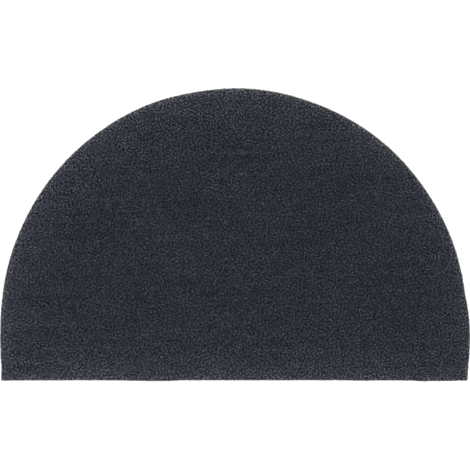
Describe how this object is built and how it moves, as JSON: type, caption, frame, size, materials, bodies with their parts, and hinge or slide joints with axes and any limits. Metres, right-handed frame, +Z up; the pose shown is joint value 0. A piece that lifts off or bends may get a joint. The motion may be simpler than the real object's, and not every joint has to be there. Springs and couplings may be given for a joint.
{
  "type": "half round doormat",
  "caption": "Half round doormat of cut coir pile in a thin vinyl base, flat and rigid enough to lie by itself at a threshold.",
  "frame": {"origin": "middle of the mat's box, on the underside that lies on the floor", "axes": "+Z up out of the pile, +X along the straight edge to the right as seen from above, +Y from the straight edge towards the top of the arch"},
  "size_m": [0.7998, 0.4984, 0.016],
  "materials": {
    "coir_pile": "matt cut coir bristle, dyed dark slate blue, bonded in a black vinyl base"
  },
  "bodies": {
    "root": {"mat": "coir_pile"}
  },
  "joints": []
}
